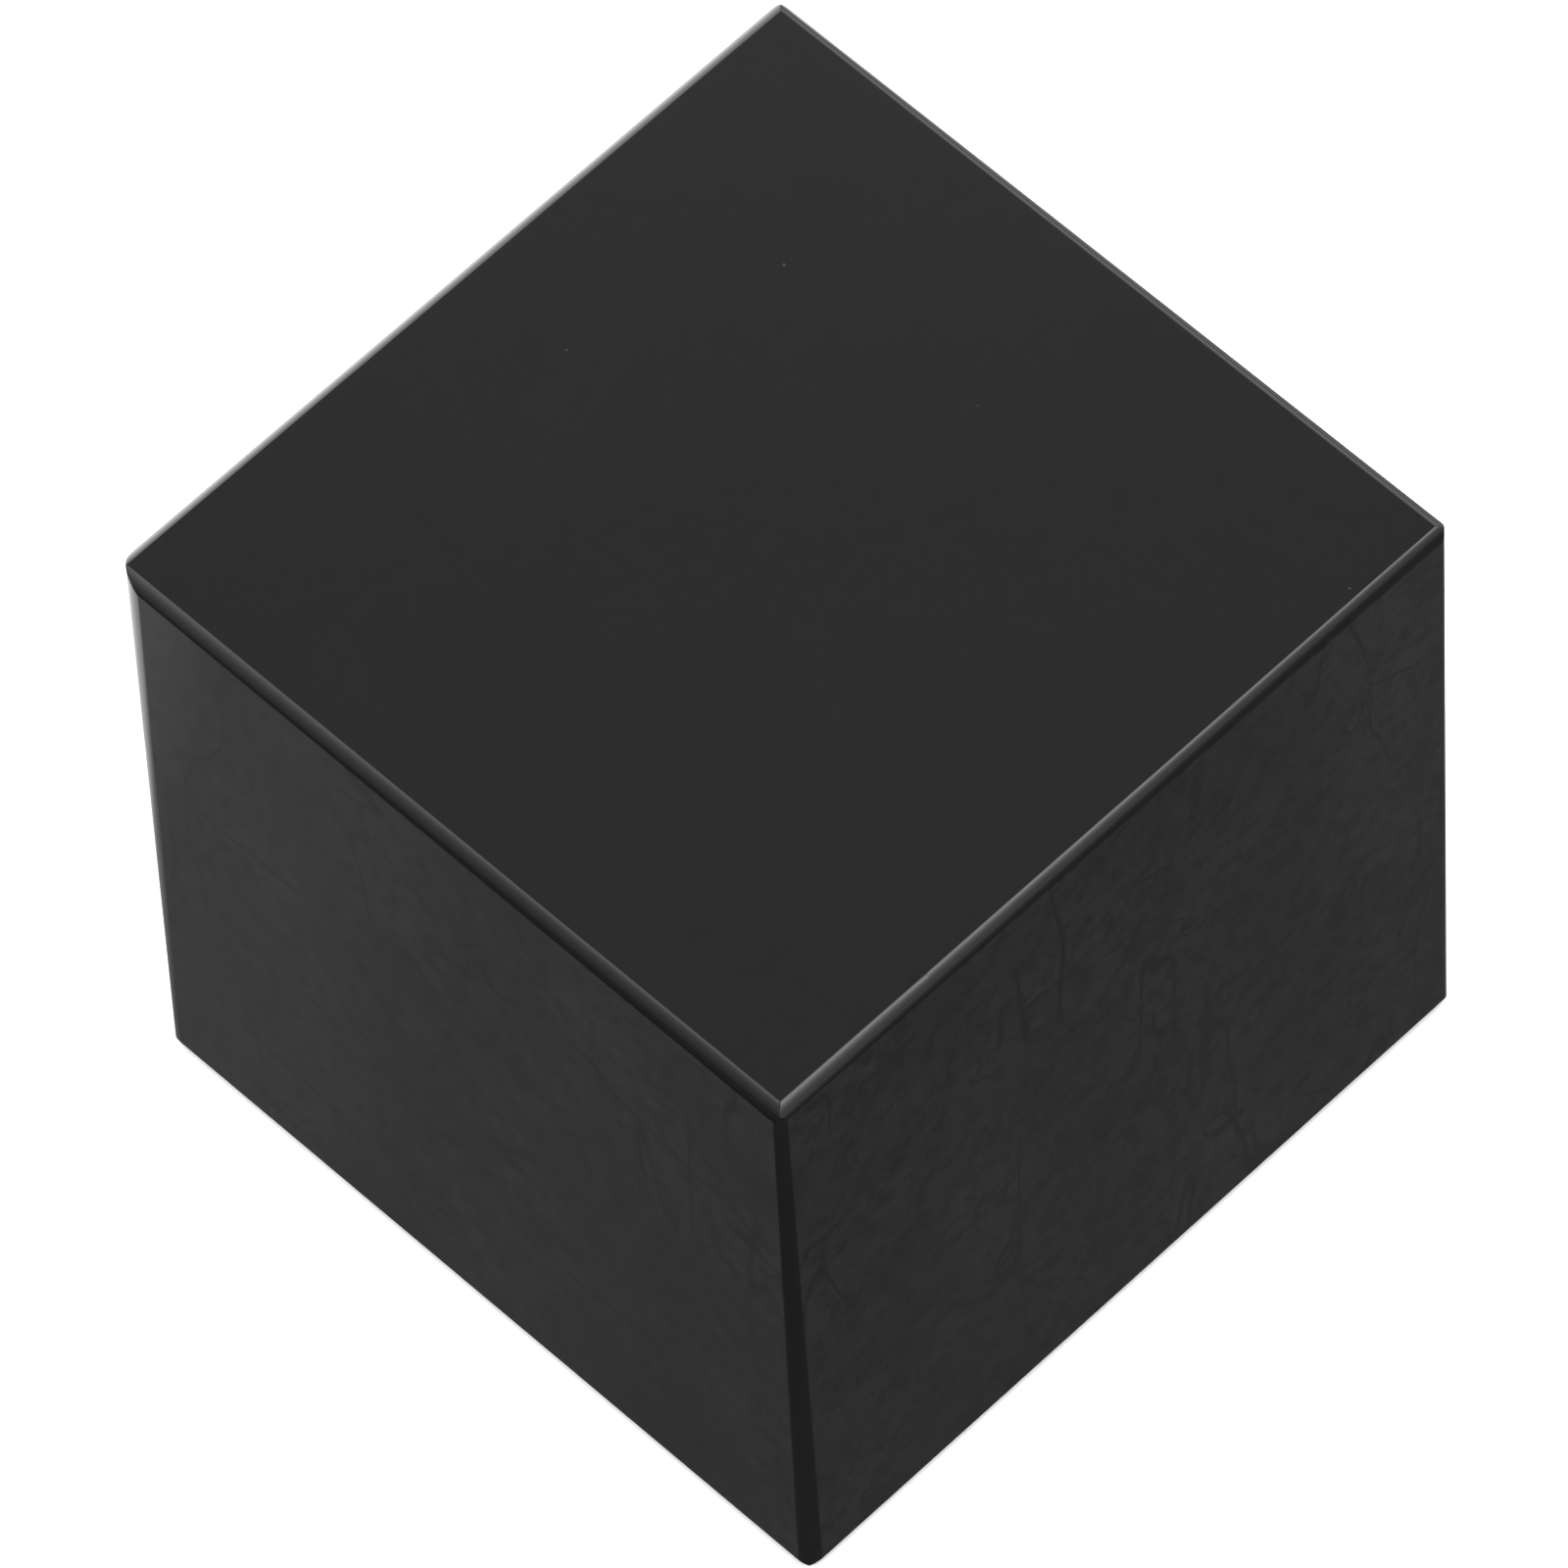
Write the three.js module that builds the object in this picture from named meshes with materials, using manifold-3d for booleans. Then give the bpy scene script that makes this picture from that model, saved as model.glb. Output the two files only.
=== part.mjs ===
// A polished block of black volcanic glass: one solid piece, sawn to a near-cube, ground flat on six sides
// and chamfered by hand along its twelve edges, so that each chamfer has its own width and taper.
// Millimetres, +Z up. The origin is the centre of the flat base that the block stands on.

import * as THREE from 'three';
import { mergeVertices } from 'three/addons/utils/BufferGeometryUtils.js';
import Module from 'manifold-3d';

const WIDTH = 50.0; // along X, over the left and right faces
const DEPTH = 49.3; // along Y, over the front and back faces
const HEIGHT = 46.9; // along Z, over the base and the top

// A hand-held edge rocks on the wheel, so a chamfer is slightly crowned. It leaves each of its faces at
// this angle, but never at more than this share of the angle that a flat cut would make there, and
// rounds over from one to the other. The number is of the flats that stand for the curve.
const CREASE_ANGLE = THREE.MathUtils.degToRad(24);
const SLOPE_SHARE = 0.56;
const CROWN_FLATS = 6;

// How far a cutter stands clear of the block, beyond its faces and its ends.
const OVERRUN = 3.0;

const POLISH = { color: 0x060607, roughness: 0.04, metalness: 0 };

// The six faces: the axis each one is square to, the side of the block it is on, and its place.
const FACES = {
  left: { axis: 0, side: -1, plane: -WIDTH / 2 },
  right: { axis: 0, side: 1, plane: WIDTH / 2 },
  front: { axis: 1, side: -1, plane: -DEPTH / 2 },
  back: { axis: 1, side: 1, plane: DEPTH / 2 },
  base: { axis: 2, side: -1, plane: 0 },
  top: { axis: 2, side: 1, plane: HEIGHT },
};

// The low end and the length of the block along each axis.
const BLOCK_START = [-WIDTH / 2, -DEPTH / 2, 0];
const BLOCK_LENGTH = [WIDTH, DEPTH, HEIGHT];

// The twelve chamfers. Each takes a strip off the two faces that it joins, and start and end hold the
// width of both strips, first face first, at the low and the high end of the edge. sharpness is how
// much of the crease angle a chamfer has, where it isn't the whole of it.
const CHAMFERS = [
  { faces: ['top', 'left'], start: [0.76, 0.95], end: [0.7, 0.6] },
  { faces: ['top', 'front'], start: [0.655, 0.85], end: [0.52, 1.02] },
  { faces: ['top', 'right'], start: [0.76, 0.74], end: [0.76, 0.74] },
  { faces: ['top', 'back'], start: [0.72, 0.68], end: [0.85, 0.7] },
  { faces: ['left', 'front'], start: [0.84, 1.05], end: [0.46, 0.62] },
  { faces: ['front', 'right'], start: [0.75, 0.7], end: [0.7, 0.75] },
  { faces: ['right', 'back'], start: [0.8, 0.75], end: [0.75, 0.85] },
  { faces: ['left', 'back'], start: [1.15, 1.05], end: [2.25, 1.9], sharpness: 0.4 },
  { faces: ['base', 'left'], start: [0.7, 0.75], end: [0.8, 0.7] },
  { faces: ['base', 'front'], start: [0.75, 0.7], end: [0.7, 0.8] },
  { faces: ['base', 'right'], start: [0.8, 0.75], end: [0.7, 0.75] },
  { faces: ['base', 'back'], start: [0.7, 0.8], end: [0.8, 0.7] },
];

// The outline of what a chamfer takes away, as pairs of depths below its first and its second face:
// the crowned curve from one face to the other, closed round the outside of the edge. The curve bends
// towards the turn, where its two end tangents would meet.
function cutOutline(onFirst, onSecond, creaseAngle) {
  const flat = Math.atan2(onSecond, onFirst);
  const leaving = Math.min(creaseAngle, SLOPE_SHARE * flat);
  const arriving = Math.min(creaseAngle, SLOPE_SHARE * (Math.PI / 2 - flat));
  const reach = (onFirst * Math.cos(arriving) - onSecond * Math.sin(arriving))
    / Math.cos(leaving + arriving);
  const turn = [reach * Math.sin(leaving), onFirst - reach * Math.cos(leaving)];
  const outline = [[-OVERRUN, onFirst]];
  for (let i = 0; i <= CROWN_FLATS; i += 1) {
    const across = i / CROWN_FLATS;
    const turning = 2 * across * (1 - across);
    outline.push([
      turning * turn[0] + across ** 2 * onSecond,
      turning * turn[1] + (1 - across) ** 2 * onFirst,
    ]);
  }
  outline.push([onSecond, -OVERRUN]);
  outline.push([-OVERRUN, -OVERRUN]);
  return outline;
}

// The point at a depth below each of two faces, and a distance along the edge between them.
function pointAtEdge(first, second, run, [belowFirst, belowSecond], distance) {
  const point = [0, 0, 0];
  point[first.axis] = first.plane - first.side * belowFirst;
  point[second.axis] = second.plane - second.side * belowSecond;
  point[run] = BLOCK_START[run] + distance;
  return point;
}

// True where the two depths and the edge's direction make a left-handed frame, which turns a mesh inside out.
function isLeftHanded(first, second, run) {
  const [belowFirst, belowSecond] = [first, second].map((face) => (
    new THREE.Vector3().setComponent(face.axis, -face.side)
  ));
  const along = new THREE.Vector3().setComponent(run, 1);
  return belowFirst.cross(belowSecond).dot(along) < 0;
}

// The closed solid that grinds one chamfer: its outline at both ends of the edge, run past the block
// at the same taper, with the sides and the two caps between them.
function chamferCutter({ faces, start, end, sharpness = 1 }) {
  const [first, second] = faces.map((name) => FACES[name]);
  const run = 3 - first.axis - second.axis;
  const length = BLOCK_LENGTH[run];
  const positions = [];
  const outlines = [-OVERRUN, length + OVERRUN].map((distance) => {
    const widths = [0, 1].map((i) => THREE.MathUtils.lerp(start[i], end[i], distance / length));
    const outline = cutOutline(...widths, sharpness * CREASE_ANGLE);
    outline.forEach((depths) => positions.push(...pointAtEdge(first, second, run, depths, distance)));
    return outline.map(([x, y]) => new THREE.Vector2(x, y));
  });

  const count = outlines[0].length;
  const triangles = [];
  for (let i = 0; i < count; i += 1) {
    const next = (i + 1) % count;
    triangles.push([next, i, count + next], [i, count + i, count + next]);
  }
  THREE.ShapeUtils.triangulateShape(outlines[0], []).forEach(([a, b, c]) => {
    triangles.push([c, b, a], [count + a, count + b, count + c]);
  });
  const facingOut = isLeftHanded(first, second, run)
    ? triangles.map(([a, b, c]) => [a, c, b])
    : triangles;

  const geometry = new THREE.BufferGeometry();
  geometry.setAttribute('position', new THREE.Float32BufferAttribute(positions, 3));
  geometry.setIndex(facingOut.flat());
  return geometry;
}

function sawnBlock() {
  const geometry = new THREE.BoxGeometry(WIDTH, DEPTH, HEIGHT);
  geometry.translate(0, 0, HEIGHT / 2);
  geometry.deleteAttribute('normal');
  geometry.deleteAttribute('uv');
  return mergeVertices(geometry);
}

const wasm = await Module();
wasm.setup();

function toSolid(geometry) {
  const vertProperties = new Float32Array(geometry.getAttribute('position').array);
  const triVerts = new Uint32Array(geometry.getIndex().array);
  return new wasm.Manifold(new wasm.Mesh({ numProp: 3, vertProperties, triVerts }));
}

function toGeometry(solid) {
  const { vertProperties, triVerts } = solid.getMesh();
  const geometry = new THREE.BufferGeometry();
  geometry.setAttribute('position', new THREE.BufferAttribute(vertProperties, 3));
  geometry.setIndex(new THREE.BufferAttribute(triVerts, 1));
  geometry.computeVertexNormals();
  return geometry;
}

const cutters = CHAMFERS.map((chamfer) => toSolid(chamferCutter(chamfer)));
const ground = cutters.reduce((block, cutter) => block.subtract(cutter), toSolid(sawnBlock()));

const polishedBlock = new THREE.Mesh(toGeometry(ground), new THREE.MeshStandardMaterial(POLISH));
polishedBlock.name = 'polished_block';

const part = new THREE.Group();
part.add(polishedBlock);

export default part;
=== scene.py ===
"""The looks of a polished block of black volcanic glass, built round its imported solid.

The block is one piece: a sawn near-cube, ground flat on six sides, chamfered by hand along its
twelve edges and polished until the faces mirror the room. Sizes are in millimetres until a mesh
is written, and then in metres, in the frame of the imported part: +Z up, origin at the centre of
the base.
"""

import math
from collections import namedtuple
from itertools import product

import bmesh
import bpy
import numpy as np
from bpy.props import FloatProperty, FloatVectorProperty, IntProperty, PointerProperty
from mathutils import Matrix, Vector


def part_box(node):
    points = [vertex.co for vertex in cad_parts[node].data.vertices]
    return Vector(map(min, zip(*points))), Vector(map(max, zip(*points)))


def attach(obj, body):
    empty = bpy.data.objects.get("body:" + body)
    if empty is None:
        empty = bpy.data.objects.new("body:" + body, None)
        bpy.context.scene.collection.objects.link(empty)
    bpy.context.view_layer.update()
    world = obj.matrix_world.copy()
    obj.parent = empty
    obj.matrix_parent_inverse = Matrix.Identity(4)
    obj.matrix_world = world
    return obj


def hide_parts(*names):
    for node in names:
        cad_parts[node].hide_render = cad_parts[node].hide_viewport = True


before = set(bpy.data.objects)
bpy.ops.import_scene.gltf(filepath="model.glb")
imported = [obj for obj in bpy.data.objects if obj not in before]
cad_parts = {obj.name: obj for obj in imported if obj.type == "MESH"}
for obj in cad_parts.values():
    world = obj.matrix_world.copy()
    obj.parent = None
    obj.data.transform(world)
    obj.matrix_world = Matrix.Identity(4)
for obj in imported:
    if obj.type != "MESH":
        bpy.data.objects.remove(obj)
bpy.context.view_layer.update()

bl_info = {
    "name": "Polished Black Block",
    "version": (1, 0, 0),
    "blender": (4, 5, 0),
    "location": "View3D > Sidebar > Block",
    "description": "A hand-chamfered block of polished black volcanic glass, with its stage",
    "category": "Object",
}

MM = 0.001
NODE = "polished_block"
PIECE = "black_block"
BLOCK_LOW = np.array(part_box(NODE)[0]) / MM
BLOCK_HIGH = np.array(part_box(NODE)[1]) / MM
BLOCK_SIZE = BLOCK_HIGH - BLOCK_LOW
BLOCK_MIDDLE = (BLOCK_LOW + BLOCK_HIGH) / 2

# - The block's faces and chamfers ---------------------------

# Each face's axis, and the side of the block that it is on.
FACES = {
    "left": (0, -1),
    "right": (0, 1),
    "front": (1, -1),
    "back": (1, 1),
    "base": (2, -1),
    "top": (2, 1),
}

# A chamfer takes a strip off the two faces that it joins. start and end hold the width of both
# strips, first face first, at the low and the high end of the edge. sharpness is how much of the
# usual angle a chamfer has where it leaves its faces.
Chamfer = namedtuple("Chamfer", "first second start end sharpness")
CHAMFERS = (
    Chamfer("top", "left", (0.76, 0.95), (0.70, 0.60), 1.0),
    Chamfer("top", "front", (0.655, 0.85), (0.52, 1.02), 1.0),
    Chamfer("top", "right", (0.76, 0.74), (0.76, 0.74), 1.0),
    Chamfer("top", "back", (0.72, 0.68), (0.85, 0.70), 1.0),
    Chamfer("left", "front", (0.84, 1.05), (0.46, 0.62), 1.0),
    Chamfer("front", "right", (0.75, 0.70), (0.70, 0.75), 1.0),
    Chamfer("right", "back", (0.80, 0.75), (0.75, 0.85), 1.0),
    Chamfer("left", "back", (1.15, 1.05), (2.25, 1.90), 0.4),
    Chamfer("base", "left", (0.70, 0.75), (0.80, 0.70), 1.0),
    Chamfer("base", "front", (0.75, 0.70), (0.70, 0.80), 1.0),
    Chamfer("base", "right", (0.80, 0.75), (0.70, 0.75), 1.0),
    Chamfer("base", "back", (0.70, 0.80), (0.80, 0.70), 1.0),
)

# Small shell-shaped nicks where a flake has left an edge: the two faces of the edge, the distance
# along it from its low end, and the nick's length and depth.
Nick = namedtuple("Nick", "first second along length depth")
NICKS = (
    Nick("top", "front", 11.3, 0.45, 0.03),
    Nick("base", "front", 20.9, 0.50, 0.05),
)

# A chamfer leaves a face at no more than this share of the angle that a flat cut would make there.
SLOPE_SHARE = 0.56

# Mesh lines. The first line beside a crease is so close that smooth shading rounds the crease by
# no more than a polishing cloth does. The rest open out to the widest step on the flats. Fine
# lines run through a nick, and past its middle on both sides by this share of its length.
CREASE_STEP = 0.025
STEP_GROWTH = 1.45
WIDEST_STEP = 1.1
NICK_STEP = 0.06
NICK_MARGIN = 0.75
LINES_ACROSS_HALF = 9
JOIN_WITHIN = 1e-7

# How far round an edge the roll-off still reaches, for each part of its reach into the face.
ROLL_HEIGHT = 4.0

# How far a nick cuts into its second face for each part that it cuts into its first.
NICK_SLANT = 0.6


def opposite_ends(axis):
    """The names of the faces at the low and the high end of an axis."""
    low = next(name for name, face in FACES.items() if face == (axis, -1))
    high = next(name for name, face in FACES.items() if face == (axis, 1))
    return low, high


def run_of(edge):
    """The axis that the edge between two faces runs along."""
    return 3 - FACES[edge.first][0] - FACES[edge.second][0]


def plane_of(face):
    axis, side = FACES[face]
    return BLOCK_HIGH[axis] if side > 0 else BLOCK_LOW[axis]


def crease_angles(on_this, on_other, slope):
    """The angles at which a chamfer leaves its two faces: the same at every edge, but never more
    than a share of the angle that a flat cut of those widths would make."""
    flat = np.arctan2(on_other, on_this)
    leaving = np.minimum(slope, SLOPE_SHARE * flat)
    return leaving, np.minimum(slope, SLOPE_SHARE * (math.pi / 2 - flat))


def turn_depths(on_this, on_other, slope):
    """Depths below the two faces of the point where the tangents of a chamfer's curve meet."""
    leaving, arriving = crease_angles(on_this, on_other, slope)
    reach = on_this * np.cos(arriving) - on_other * np.sin(arriving)
    reach = reach / np.cos(leaving + arriving)
    return reach * np.sin(leaving), on_this - reach * np.cos(leaving)


def chamfer_depths(on_this, on_other, across, slope):
    """Depths below a chamfer's two faces, that share of the way across it from this one."""
    turn_this, turn_other = turn_depths(on_this, on_other, slope)
    turning = 2 * across * (1 - across)
    below_this = turning * turn_this + across**2 * on_other
    return below_this, turning * turn_other + (1 - across) ** 2 * on_this


def share_across(on_this, on_other, depth, slope):
    """The share of the way across a chamfer at which it is that deep below this face."""
    turn_this, _ = turn_depths(on_this, on_other, slope)
    bend = on_other - 2 * turn_this
    return depth / (turn_this + np.sqrt(turn_this**2 + bend * depth))


class Edge:
    """One chamfered edge. Distances along it run from its low end."""

    # A width wanders in two waves: how far they are shifted from edge to edge and from one of its
    # two strips to the other, and how quick and how big the second is, as shares of the first.
    EDGE_SHIFT, STRIP_SHIFT = 2.4, 1.1
    SECOND_RATE, SECOND_SIZE = 2.3, 0.6

    def __init__(self, chamfer, number, settings):
        self.chamfer = chamfer
        self.run = run_of(chamfer)
        self.length = BLOCK_SIZE[self.run]
        self.slope = settings.crease_angle * chamfer.sharpness
        self.wobble = settings.hand_wobble / MM
        self.wobble_length = settings.wobble_length / MM
        self.number = number

    def widths(self, face, along):
        """The chamfer's width on this face and on the other one."""
        share = np.clip(along / self.length, 0, 1)
        turn = 2 * math.pi * along / self.wobble_length
        found = []
        for strip, (start, end) in enumerate(zip(self.chamfer.start, self.chamfer.end)):
            phase = self.EDGE_SHIFT * self.number + self.STRIP_SHIFT * strip
            second = self.SECOND_SIZE * np.sin(self.SECOND_RATE * turn + 2 * phase)
            shake = np.sin(turn + phase) + second
            found.append(start + (end - start) * share + self.wobble * shake)
        return found if face == self.chamfer.first else found[::-1]

    def along(self, end_face, depth):
        """The distance along the edge of what lies at that depth below the face at one end."""
        return depth if FACES[end_face][1] < 0 else self.length - depth

    def meets_below(self, face, end_face, depth, below_end):
        """How far below its other face the chamfer is, where it is that deep below this one."""
        widths = self.widths(face, self.along(end_face, below_end))
        across = share_across(*widths, depth, self.slope)
        return chamfer_depths(*widths, across, self.slope)[1]


class Chamfering:
    """All twelve chamfers, and the lines along which each two of them meet."""

    ROUNDS = 12
    HALVINGS = 40

    def __init__(self, settings):
        self.edges = {}
        for number, chamfer in enumerate(CHAMFERS):
            edge = Edge(chamfer, number, settings)
            self.edges[frozenset((chamfer.first, chamfer.second))] = edge
        self.shared = {}
        for corner in product(*(opposite_ends(axis) for axis in range(3))):
            self.shared[frozenset(corner)] = self.shared_point(corner)

    def edge(self, face, other):
        return self.edges[frozenset((face, other))]

    def mitre(self, face, second, third, depth):
        """Depths below the second and third face of a corner, on the line where this face's two
        chamfers meet, at a depth below this face."""
        to_second, to_third = self.edge(face, second), self.edge(face, third)
        below_second = below_third = np.zeros_like(depth)
        for _ in range(self.ROUNDS):
            below_second = to_second.meets_below(face, third, depth, below_third)
            below_third = to_third.meets_below(face, second, depth, below_second)
        return below_second, below_third

    def shared_point(self, corner):
        """Depths below the three faces of a corner, by name, of the point on all three chamfers."""
        face, second, third = corner
        far = self.edge(second, third)
        low = np.array(0.0)
        high = np.array(min(self.edge(face, other).widths(other, 0)[0] for other in corner[1:]))
        for _ in range(self.HALVINGS):
            depth = (low + high) / 2
            below_second, below_third = self.mitre(face, second, third, depth)
            limit = far.meets_below(second, face, np.maximum(below_second, 0), depth)
            if below_second > 0 and below_third > limit:
                low = depth
            else:
                high = depth
        return {face: float(depth), second: float(below_second), third: float(below_third)}


class HalfChamfer:
    """The half of a chamfer beside one of its faces, as mesh lines that run the length of the edge.
    Line 0 is the crease with the face, and the last one is the middle of the chamfer."""

    def __init__(self, chamfering, face, other, shares):
        self.face, self.other = face, other
        self.edge = chamfering.edge(face, other)
        self.across, self.mitres, self.starts = [], [], []
        for end_face in opposite_ends(self.edge.run):
            shared = chamfering.shared[frozenset((face, other, end_face))]
            depth = shares * shared[face]
            _, below_end = chamfering.mitre(face, other, end_face, depth)
            _, other_below_end = chamfering.mitre(other, face, end_face, np.zeros(1))
            middle_below_end = (below_end[0] + other_below_end[0]) / 2
            start = below_end[0] + (middle_below_end - below_end[0]) * shares
            mitre = self.edge.along(end_face, below_end)
            self.across.append(share_across(*self.edge.widths(face, mitre), depth, self.edge.slope))
            self.mitres.append(mitre)
            self.starts.append(self.edge.along(end_face, start))

    def points(self, line, along):
        """Points on a line at distances along the edge."""
        low, high = self.mitres[0][line], self.mitres[1][line]
        share = (along - low) / (high - low)
        across = self.across[0][line] * (1 - share) + self.across[1][line] * share
        depths = chamfer_depths(*self.edge.widths(self.face, along), across, self.edge.slope)
        found = np.empty((*np.shape(along), 3))
        for name, depth in zip((self.face, self.other), depths):
            axis, side = FACES[name]
            found[..., axis] = plane_of(name) - side * depth
        found[..., self.edge.run] = BLOCK_LOW[self.edge.run] + along
        return found

    def between_starts(self, line, stations):
        low, high = self.starts[0][line], self.starts[1][line]
        return self.points(line, low + (high - low) * stations)

    def towards_mitre(self, line, end, share):
        """The point a share of the way from where the line's even stations end to its mitre."""
        start, mitre = self.starts[end][line], self.mitres[end][line]
        return self.points(line, start + (mitre - start) * share)


def stations_along(axis):
    """Where the mesh lines across an edge of that axis stand, as shares of its length: close at
    both ends and at each nick, and even in between."""
    length = BLOCK_SIZE[axis]
    steps = []
    step = CREASE_STEP
    while step < WIDEST_STEP:
        steps.append(step)
        step *= STEP_GROWTH
    offsets = np.concatenate(([0.0], np.cumsum(steps)))
    even = int((length - 2 * offsets[-1]) / WIDEST_STEP) + 1
    middle = np.linspace(offsets[-1], length - offsets[-1], even + 1)[1:-1]
    found = np.concatenate((offsets, middle, length - offsets[::-1]))
    for nick in NICKS:
        if run_of(nick) == axis:
            reach = NICK_MARGIN * nick.length
            near = np.arange(nick.along - reach, nick.along + reach, NICK_STEP)
            kept = found[(found < near[0] - NICK_STEP) | (found > near[-1] + NICK_STEP)]
            found = np.sort(np.concatenate((kept, near)))
    return found / length


def flat_grid(rows, columns, low_side, high_side, low_end, high_end):
    """Points filled in between four border lines, at the given shares along the grid both ways."""
    u, v = rows[:, None, None], columns[None, :, None]
    between_sides = (1 - u) * low_side[None] + u * high_side[None]
    between_ends = (1 - v) * low_end[:, None] + v * high_end[:, None]
    corners = (1 - u) * ((1 - v) * low_side[0] + v * low_side[-1])
    corners = corners + u * ((1 - v) * high_side[0] + v * high_side[-1])
    return between_sides + between_ends - corners


def face_grid(chamfering, face, shares):
    """A face with the near half of its four chamfers, as one grid of points. Rows follow the axis
    after the face's own, and columns the one after that."""
    axis = FACES[face][0]
    row_axis, column_axis = (axis + 1) % 3, (axis + 2) % 3
    rows, columns = stations_along(row_axis), stations_along(column_axis)
    row_sides, column_sides = (
        [HalfChamfer(chamfering, face, other, shares) for other in opposite_ends(across)]
        for across in (row_axis, column_axis)
    )
    lines = len(shares) - 1
    shape = (len(rows) + 2 * lines, len(columns) + 2 * lines)
    grid = np.empty((*shape, 3))
    middle_rows = slice(lines, lines + len(rows))
    middle_columns = slice(lines, lines + len(columns))

    def place(line, end, way):
        return shape[way] - 1 - lines + line if end else lines - line

    creases = [side.between_starts(0, columns) for side in row_sides]
    creases += [side.between_starts(0, rows) for side in column_sides]
    grid[middle_rows, middle_columns] = flat_grid(rows, columns, *creases)
    for line, end in product(range(1, lines + 1), range(2)):
        grid[place(line, end, 0), middle_columns] = row_sides[end].between_starts(line, columns)
        grid[middle_rows, place(line, end, 1)] = column_sides[end].between_starts(line, rows)
    for row_end, column_end in product(range(2), repeat=2):
        for row_line, column_line in product(range(1, lines + 1), repeat=2):
            if row_line >= column_line:
                share = shares[column_line] / shares[row_line]
                point = row_sides[row_end].towards_mitre(row_line, column_end, share)
            else:
                share = shares[row_line] / shares[column_line]
                point = column_sides[column_end].towards_mitre(column_line, row_end, share)
            grid[place(row_line, row_end, 0), place(column_line, column_end, 1)] = point
    return grid


def grid_faces(shape, lines, facing_out):
    """The faces of a grid, as its points' numbers. In the corner squares, the cells that the mitre
    crosses are cut in two along it."""
    last_row, last_column = shape[0] - 2, shape[1] - 2
    cut_down, cut_up = set(), set()
    for step in range(lines):
        cut_down |= {(step, step), (last_row - step, last_column - step)}
        cut_up |= {(step, last_column - step), (last_row - step, step)}
    faces = []
    for row, column in product(range(shape[0] - 1), range(shape[1] - 1)):
        first = row * shape[1] + column
        a, b, c, d = first, first + shape[1], first + shape[1] + 1, first + 1
        if (row, column) in cut_down:
            faces += [(a, b, c), (a, c, d)]
        elif (row, column) in cut_up:
            faces += [(a, b, d), (b, c, d)]
        else:
            faces.append((a, b, c, d))
    return faces if facing_out else [face[::-1] for face in faces]


def ground_mesh(chamfering):
    """The whole block as one closed mesh, in metres."""
    shares = np.linspace(0, 1, LINES_ACROSS_HALF)
    points, faces = [], []
    for face, (_, side) in FACES.items():
        grid = face_grid(chamfering, face, shares)
        start = sum(len(some) for some in points)
        for corners in grid_faces(grid.shape[:2], len(shares) - 1, side > 0):
            faces.append([start + corner for corner in corners])
        points.append(grid.reshape(-1, 3))
    mesh = bpy.data.meshes.new(PIECE)
    mesh.from_pydata(np.concatenate(points) * MM, [], faces)
    shell = bmesh.new()
    shell.from_mesh(mesh)
    bmesh.ops.remove_doubles(shell, verts=shell.verts, dist=JOIN_WITHIN)
    if any(len(edge.link_faces) != 2 for edge in shell.edges):
        raise RuntimeError("the block's faces and chamfers don't close up")
    shell.to_mesh(mesh)
    shell.free()
    mesh.shade_smooth()
    return mesh


# - Nodes ----------------------------------------------------


def add_node(tree, kind, sockets=None, **settings):
    """Adds a node with its settings. Each socket takes a value, a link from another node's
    socket, or another node, which gives its first output. A Mix node has a socket of the same
    name for each type of data, so its sockets go by number: 0, 2 and 3 for numbers, and 0, 6 and
    7 for colours."""
    node = tree.nodes.new(kind)
    for name, value in settings.items():
        setattr(node, name, value)
    for key, value in (sockets or {}).items():
        if isinstance(value, bpy.types.Node):
            value = value.outputs[0]
        if isinstance(value, bpy.types.NodeSocket):
            tree.links.new(value, node.inputs[key])
        else:
            node.inputs[key].default_value = value
    return node


def cleared_tree(owner):
    """The node tree of a new material or world, with nothing in it."""
    owner.use_nodes = True
    owner.node_tree.nodes.clear()
    return owner.node_tree


def shape_tree(name, inputs):
    """A Geometry Nodes tree with those inputs after its geometry, and the sockets they give."""
    tree = bpy.data.node_groups.new(name, "GeometryNodeTree")
    for way in ("INPUT", "OUTPUT"):
        tree.interface.new_socket("Geometry", in_out=way, socket_type="NodeSocketGeometry")
    for label, kind in inputs.items():
        tree.interface.new_socket(label, in_out="INPUT", socket_type=f"NodeSocket{kind}")
    return tree, tree.nodes.new("NodeGroupInput").outputs


def shell_nick_tree():
    """Scoops a shallow shell out of an edge, where a flake has come away."""
    tree, given = shape_tree(
        "shell_nick",
        {"Centre": "Vector", "Inward": "Vector", "Radius": "Float", "Depth": "Float"},
    )
    place = add_node(tree, "GeometryNodeInputPosition")
    away = add_node(
        tree, "ShaderNodeVectorMath", {0: place, 1: given["Centre"]}, operation="DISTANCE"
    ).outputs["Value"]
    sunk = add_node(
        tree,
        "ShaderNodeMapRange",
        {"Value": away, "From Max": given["Radius"], "To Min": given["Depth"], "To Max": 0.0},
        interpolation_type="SMOOTHSTEP",
    )
    offset = add_node(
        tree, "ShaderNodeVectorMath", {0: given["Inward"], "Scale": sunk}, operation="SCALE"
    )
    moved = add_node(
        tree, "GeometryNodeSetPosition", {"Geometry": given["Geometry"], "Offset": offset}
    )
    add_node(tree, "NodeGroupOutput", {"Geometry": moved})
    return tree


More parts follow.
